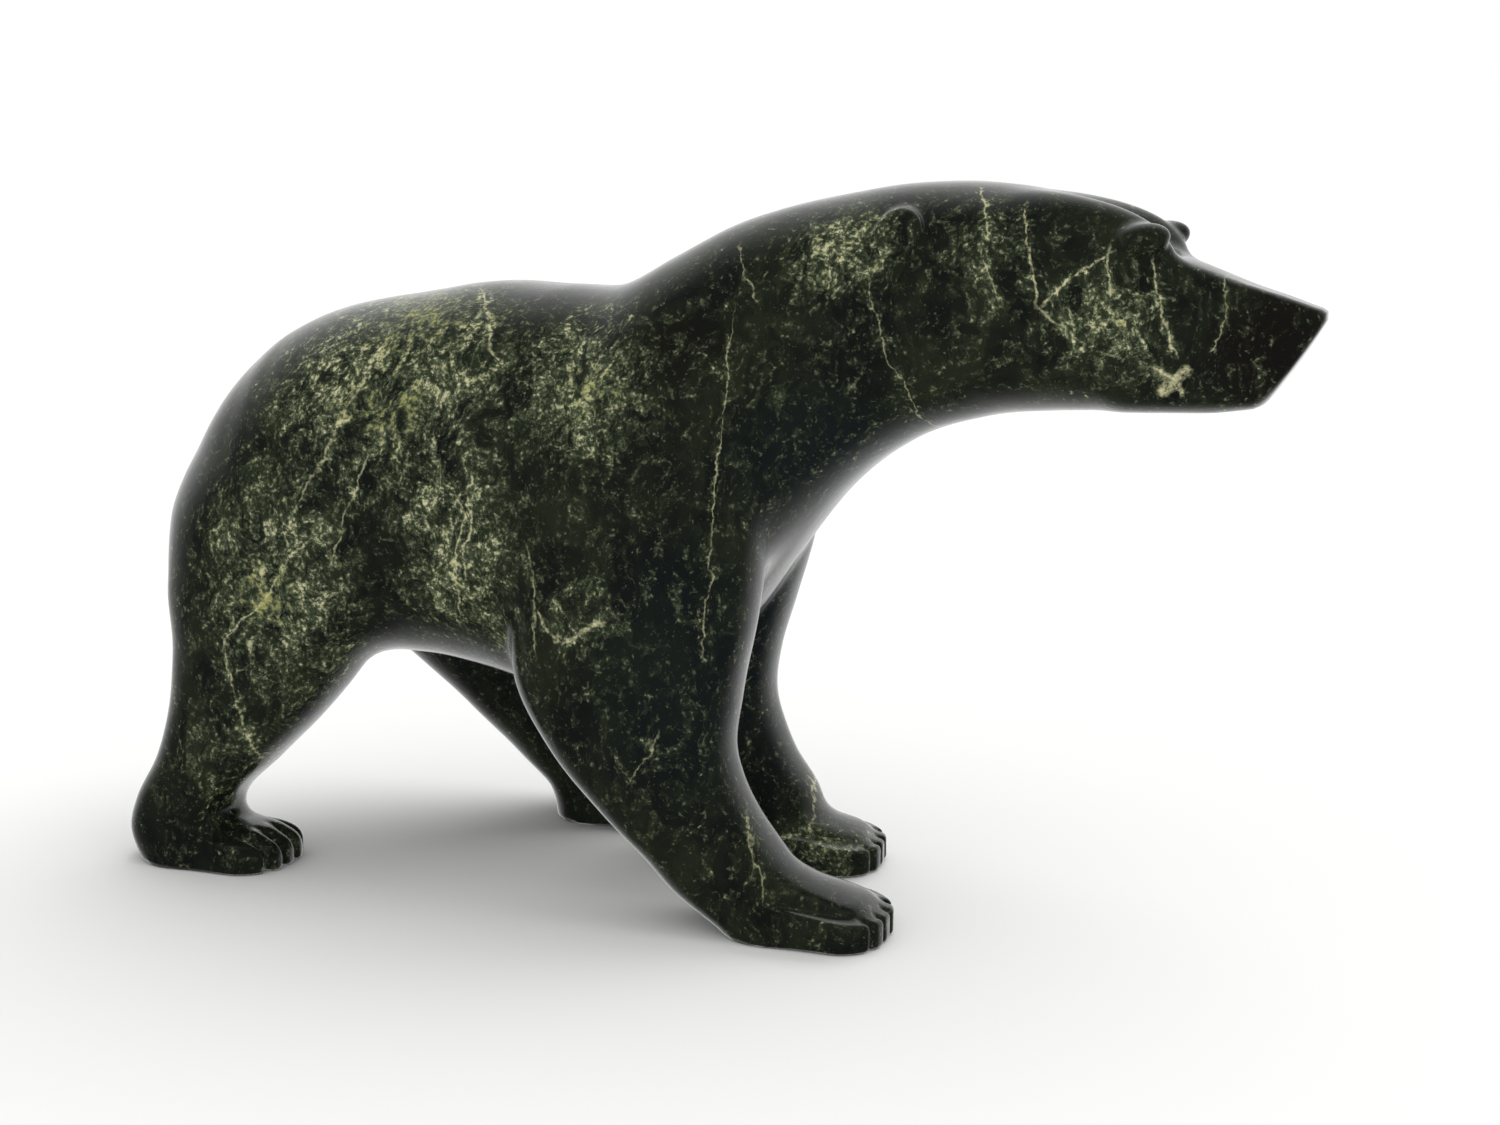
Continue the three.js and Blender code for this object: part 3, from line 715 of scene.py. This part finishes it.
# Where each step begins and ends, in the pattern that it is read from.
STEPS = {
    "mottle": (0.4, 0.62),
    "patches": (0.34, 0.6),
    "tone": (0.25, 0.5),
    "broken": (0.36, 0.58),
    "haze": (0.5, 0.85),
    "grey": (0.94, 1.14),
    "pale": (1.07, 1.22),
    "dull": (1.1, 1.3),
    "polish": (0.3, 0.7),
}
STONE_IOR = 1.57
WAX_LEVEL = 0.4  # thin hand-rubbed wax mirrors a little less than a full polish
POLISH_SPREAD = 0.04
GRAIN_DULLNESS = 0.15
GRAIN_RELIEF = 0.04 * MM


def clouds(tree, where, found):
    """How far a point is inside any of the listed clouds: 0 outside, up to 1 and more at their middles."""
    total = 0.0
    for middle, reach, strength in found:
        off = put(tree, "VectorMath", (where, middle), operation="SUBTRACT")
        near = put(tree, "VectorMath", (off, reach), operation="DIVIDE")
        away = put(tree, "VectorMath", (near,), 1, operation="LENGTH")
        ramp = (away, 1.0, 0.3, 0.0, strength)
        inside = put(tree, "MapRange", ramp, interpolation_type="SMOOTHSTEP")
        total = put(tree, "Math", (inside, total), operation="MAXIMUM")
    return total


def healed_cracks(tree, where):
    """How strongly a vein shows at a point, and how near the point is to one."""
    lines, halos = 0.0, 0.0
    for (x0, z0), (x1, z1), half, strength, lean in VEINS:
        run = Vector((x1 - x0, 0, z1 - z0))
        along = run.normalized()
        across = Vector((-along.z, lean, along.x)).normalized()
        middle = ((x0 + x1) / 2, -30, (z0 + z1) / 2)
        off = put(tree, "VectorMath", (where, middle), operation="SUBTRACT")
        gap = put(tree, "VectorMath", (off, across), 1, operation="DOT_PRODUCT")
        gap = put(tree, "Math", (gap,), operation="ABSOLUTE")
        place = put(tree, "VectorMath", (off, along * (2 / run.length)), 1, operation="DOT_PRODUCT")
        place = put(tree, "Math", (place,), operation="ABSOLUTE")
        ends = put(tree, "MapRange", (place, 1.1, 0.85, 0.0, strength))
        line = put(tree, "MapRange", (gap, half * 1.7, half * 0.3))
        line = put(tree, "Math", (line, ends), operation="MULTIPLY")
        lines = put(tree, "Math", (line, lines), operation="MAXIMUM")
        halo = put(tree, "MapRange", (gap, VEIN_HALO, 0.0))
        halo = put(tree, "Math", (halo, ends), operation="MULTIPLY")
        halos = put(tree, "Math", (halo, halos), operation="MAXIMUM")
    return lines, halos


def waxed_serpentine(finish, middle):
    """Serpentine soapstone, rasped, sanded and waxed by hand.

    The ground is nearly black, so the wax shows as a soft gloss that brightens toward the edges. Pale
    grains about a millimetre wide lie in it in drifts, and old cracks show as thin cream lines. Grains
    are harder than the ground and take the polish differently, so they are a little rougher.
    """
    material = bpy.data.materials.new("waxed_serpentine_soapstone")
    material.use_nodes = True
    tree = material.node_tree
    shader = tree.nodes["Principled BSDF"]

    # Places in the form's own millimetres, as they are and wandered.
    own = put(tree, "TexCoord", out="Object")
    own = put(tree, "VectorMath", {0: own, "Scale": 1 / MM}, operation="SCALE")
    places = {"block": put(tree, "VectorMath", (own, tuple(middle)), operation="ADD")}
    for name, wanders in WANDERS.items():
        place = places["block"]
        for size, most in wanders:
            lumps = put(tree, "TexNoise", {"Vector": places["block"], "Scale": 1 / size}, "Color")
            lumps = put(tree, "VectorMath", (lumps, (0.5,) * 3), operation="SUBTRACT")
            lumps = put(tree, "VectorMath", {0: lumps, "Scale": 2 * most}, operation="SCALE")
            place = put(tree, "VectorMath", (place, lumps), operation="ADD")
        places[name] = place
    regions = places["drawn"]
    places["drawn"] = put(tree, "VectorMath", (regions, DRAWN_OUT), operation="MULTIPLY")

    found = {}
    for name, (place, size, detail, strength) in PATTERNS.items():
        inputs = {"Vector": places[place], "Scale": 1 / size, "Detail": detail, "Roughness": strength}
        found[name] = put(tree, "TexNoise", inputs)

    # How densely the grains lie: in drifts, in patches inside them, and along the veins.
    crack, halo = healed_cracks(tree, places["broken"])
    drift = clouds(tree, regions, SPECKLED)
    patchy = put(tree, "MapRange", (found["patches"], *STEPS["patches"], 0.25, 1.0))
    dense = put(tree, "Math", (drift, patchy), operation="MULTIPLY")
    dense = put(tree, "Math", (halo, 0.45, dense), operation="MULTIPLY_ADD")
    haze = put(tree, "Math", (dense, 0.34, found["froth"]), operation="MULTIPLY_ADD")
    score = put(tree, "Math", (haze, 0.7, found["grains"]), operation="MULTIPLY_ADD")

    broken = put(tree, "MapRange", (found["grains"], *STEPS["broken"]))
    yellow = clouds(tree, regions, YELLOWED)
    tone = put(tree, "Math", (yellow, -0.3, found["tone"]), operation="MULTIPLY_ADD")
    pale = put(tree, "MapRange", (tone, *STEPS["tone"]))
    pale = put(tree, "Mix", {0: pale, 6: colour(finish.yellow), 7: colour(finish.cream)}, 2, data_type="RGBA")
    layers = (
        (put(tree, "MapRange", (found["mottle"], *STEPS["mottle"])), colour(finish.olive)),
        (clouds(tree, regions, BLUISH), colour(finish.blue)),
        (clouds(tree, regions, BROWNISH), colour(finish.brown)),
        (put(tree, "MapRange", (haze, *STEPS["haze"], 0.0, 0.8)), colour(finish.haze)),
        (put(tree, "MapRange", (score, *STEPS["grey"], 0.0, 0.8)), colour(finish.grey)),
        (put(tree, "MapRange", (score, *STEPS["pale"])), pale),
        (put(tree, "Math", (crack, broken), operation="MULTIPLY"), colour(finish.cream)),
    )
    surface = colour(finish.ground)
    for amount, tint in layers:
        surface = put(tree, "Mix", {0: amount, 6: surface, 7: tint}, 2, data_type="RGBA")
    tree.links.new(surface, shader.inputs["Base Color"])

    shader.inputs["IOR"].default_value = STONE_IOR
    shader.inputs["Specular IOR Level"].default_value = WAX_LEVEL
    dull = put(tree, "MapRange", (score, *STEPS["dull"], 0.0, GRAIN_DULLNESS))
    uneven = (finish.roughness - POLISH_SPREAD, finish.roughness + POLISH_SPREAD)
    rough = put(tree, "MapRange", (found["polish"], *STEPS["polish"], *uneven))
    rough = put(tree, "Math", (dull, rough), operation="ADD")
    tree.links.new(rough, shader.inputs["Roughness"])
    bump = put(tree, "Bump", {"Height": score, "Distance": GRAIN_RELIEF})
    tree.links.new(bump, shader.inputs["Normal"])
    return material


def matte_paper(tint):
    """Seamless white paper, laid flat: it gives no gloss, only soft shadows under the feet."""
    material = bpy.data.materials.new("matte_paper")
    material.use_nodes = True
    shader = material.node_tree.nodes["Principled BSDF"]
    shader.inputs["Base Color"].default_value = colour(tint)
    shader.inputs["Roughness"].default_value = 0.9
    shader.inputs["Specular IOR Level"].default_value = 0.1
    return material


# --- the piece ----------------------------------------------------------------------------------


class CARVING_OT_bear(bpy.types.Operator):
    """Carve the bear, finish its stone and put it in place of the plain solid"""

    bl_idname = "carving.bear"
    bl_label = "Carve bear"

    def execute(self, context):
        points, faces, middle = carve(context.scene.carving_form)
        mesh = bpy.data.meshes.new(PIECE_NAME)
        mesh.from_pydata(points.tolist(), [], faces.tolist())
        if mesh.validate():
            raise RuntimeError("the bear's skin has faces that aren't sound")
        mesh.shade_smooth()
        piece = bpy.data.objects.new(PIECE_NAME, mesh)
        context.scene.collection.objects.link(piece)
        middle_in_frame = middle - (np.array(CAD_BOX[0]) + np.array(CAD_BOX[1])) / 2 / MM
        middle_in_frame[2] = -CAD_BOX[0].z / MM
        mesh.materials.append(waxed_serpentine(context.scene.stone_finish, middle_in_frame))
        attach(piece, "root")
        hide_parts(NODE)
        return {"FINISHED"}


# --- the studio ---------------------------------------------------------------------------------


class StudioSetting(bpy.types.PropertyGroup):
    """The floor, the light and the camera."""

    floor: StringProperty(name="Floor", description="Colour of the paper", default="f8f8f6")
    tent: FloatProperty(
        name="Tent", description="Brightness of the even light from all round", default=0.8, min=0
    )
    window: FloatProperty(
        name="Window", description="Strength of the light from one side", default=1.3, min=0
    )
    surround: FloatProperty(
        name="Surround",
        description="Brightness of what the polish mirrors behind the carving",
        default=1.1,
        min=0,
    )
    camera_side: FloatProperty(
        name="Camera side",
        description="Brightness of what the polish mirrors on the camera's side",
        default=0.05,
        min=0,
    )
    azimuth: FloatProperty(
        name="Azimuth",
        description="How far the camera is swung toward the head from square on",
        default=math.radians(20),
        subtype="ANGLE",
    )
    pitch: FloatProperty(
        name="Pitch",
        description="How far the camera looks down",
        default=math.radians(10.4),
        subtype="ANGLE",
    )
    distance: FloatProperty(
        name="Distance",
        description="From the camera to the point it looks at",
        default=504.7 * MM,
        unit="LENGTH",
    )
    focal: FloatProperty(name="Focal length", description="Of the lens, in millimetres", default=50)
    aim: FloatVectorProperty(
        name="Aim",
        description="The point the camera looks at",
        default=(9.7 * MM, 2.3 * MM, 77.4 * MM),
        unit="LENGTH",
    )


BRIGHT_FROM = (1.0, 0.15, 0.05)  # how far the brightest part is behind, right and above
BRIGHT_SPAN = (-0.2, 1.0)  # the light rises between these cosines of the angle from the brightest part
WINDOW_FROM = (0.45, 0.5, 1.0)  # where the one-sided light comes from, as behind, right and above
WINDOW_WIDTH = math.radians(70)
FLOOR_REACH = 40  # lengths of the carving, each way
NEAREST_SEEN = 10 * MM


def view_direction(azimuth, pitch):
    """The way a camera looks that is swung by azimuth from square on and looks down by pitch."""
    level = math.cos(pitch)
    return Vector((-math.sin(azimuth) * level, math.cos(azimuth) * level, -math.sin(pitch)))


def studio_direction(setting, behind, right, above):
    """A direction given by how far it points away from the camera, to its right and up."""
    away = view_direction(setting.azimuth, 0)
    return (away * behind + Vector((away.y, -away.x, 0)) * right + Vector((0, 0, above))).normalized()


def lit_surround(setting):
    """A white tent. It lights evenly, and what the polish mirrors is bright behind the carving and dark on
    the side where the camera and its user stand."""
    world = bpy.data.worlds.new("light_tent")
    world.use_nodes = True
    tree = world.node_tree
    brightest = studio_direction(setting, *BRIGHT_FROM)
    way = put(tree, "TexCoord", out="Generated")
    facing = put(tree, "VectorMath", (way, brightest), "Value", operation="DOT_PRODUCT")
    ramp = (facing, *BRIGHT_SPAN, setting.camera_side, setting.surround)
    mirrored = put(tree, "MapRange", ramp, interpolation_type="SMOOTHSTEP")
    glossy = put(tree, "LightPath", out="Is Glossy Ray")
    seen = put(tree, "LightPath", out="Is Camera Ray")
    level = put(tree, "Mix", {0: glossy, 2: setting.tent, 3: mirrored}, data_type="FLOAT")
    level = put(tree, "Mix", {0: seen, 2: level, 3: 1.0}, data_type="FLOAT")
    tree.links.new(level, tree.nodes["Background"].inputs["Strength"])
    tree.nodes["Background"].inputs["Color"].default_value = (1, 1, 1, 1)
    return world


def window_light(scene, setting):
    """Broad light from one side, whose soft shadow falls to the front left."""
    light = bpy.data.lights.new("window_light", "SUN")
    light.angle = WINDOW_WIDTH
    light.energy = setting.window
    lamp = bpy.data.objects.new("window_light", light)
    lamp.rotation_euler = (-studio_direction(setting, *WINDOW_FROM)).to_track_quat("-Z", "Y").to_euler()
    lamp.visible_glossy = False  # it lights the stone and the paper, and leaves no spot in the polish
    scene.collection.objects.link(lamp)


class CARVING_OT_studio(bpy.types.Operator):
    """Lay the floor, set the lights and place the camera"""

    bl_idname = "carving.studio"
    bl_label = "Set up studio"

    def execute(self, context):
        scene = context.scene
        setting = scene.studio_setting
        length = CAD_BOX[1].x - CAD_BOX[0].x
        half = FLOOR_REACH * length
        floor_z = CAD_BOX[0].z
        mesh = bpy.data.meshes.new("floor")
        corners = [(sx * half, sy * half, floor_z) for sx, sy in ((-1, -1), (1, -1), (1, 1), (-1, 1))]
        mesh.from_pydata(corners, [], [(0, 1, 2, 3)])
        mesh.materials.append(matte_paper(setting.floor))
        floor = bpy.data.objects.new("floor", mesh)
        scene.collection.objects.link(floor)
        floor.visible_glossy = False  # the polish mirrors only the surround, as over a narrow sheet of paper

        scene.world = lit_surround(setting)
        window_light(scene, setting)

        camera = bpy.data.objects.new("camera", bpy.data.cameras.new("camera"))
        camera.data.lens = setting.focal
        camera.data.clip_start = NEAREST_SEEN
        look = view_direction(setting.azimuth, setting.pitch)
        camera.location = Vector(setting.aim) - look * setting.distance
        camera.rotation_euler = look.to_track_quat("-Z", "Y").to_euler()
        scene.collection.objects.link(camera)
        scene.camera = camera
        scene.view_settings.view_transform = "Standard"
        return {"FINISHED"}


class CARVING_PT_panel(bpy.types.Panel):
    """Lists the pieces and the stage, with their sizes and colours"""

    bl_idname = "CARVING_PT_panel"
    bl_label = "Soapstone bear"
    bl_space_type = "VIEW_3D"
    bl_region_type = "UI"
    bl_category = "Carving"

    def draw(self, context):
        scene = context.scene
        for operator, settings in (
            (CARVING_OT_bear, (scene.carving_form, scene.stone_finish)),
            (CARVING_OT_studio, (scene.studio_setting,)),
        ):
            box = self.layout.box()
            for setting in settings:
                for name in type(setting).__annotations__:
                    box.prop(setting, name)
            box.operator(operator.bl_idname)


CLASSES = (
    CarvingForm,
    StoneFinish,
    StudioSetting,
    CARVING_OT_bear,
    CARVING_OT_studio,
    CARVING_PT_panel,
)
SETTINGS = {
    "carving_form": CarvingForm,
    "stone_finish": StoneFinish,
    "studio_setting": StudioSetting,
}


def register():
    for made in CLASSES:
        bpy.utils.register_class(made)
    for name, kind in SETTINGS.items():
        setattr(bpy.types.Scene, name, PointerProperty(type=kind))


def unregister():
    for name in SETTINGS:
        delattr(bpy.types.Scene, name)
    for made in reversed(CLASSES):
        bpy.utils.unregister_class(made)


def main():
    register()
    bpy.ops.carving.studio()
    bpy.ops.carving.bear()


if __name__ == "__main__":
    main()
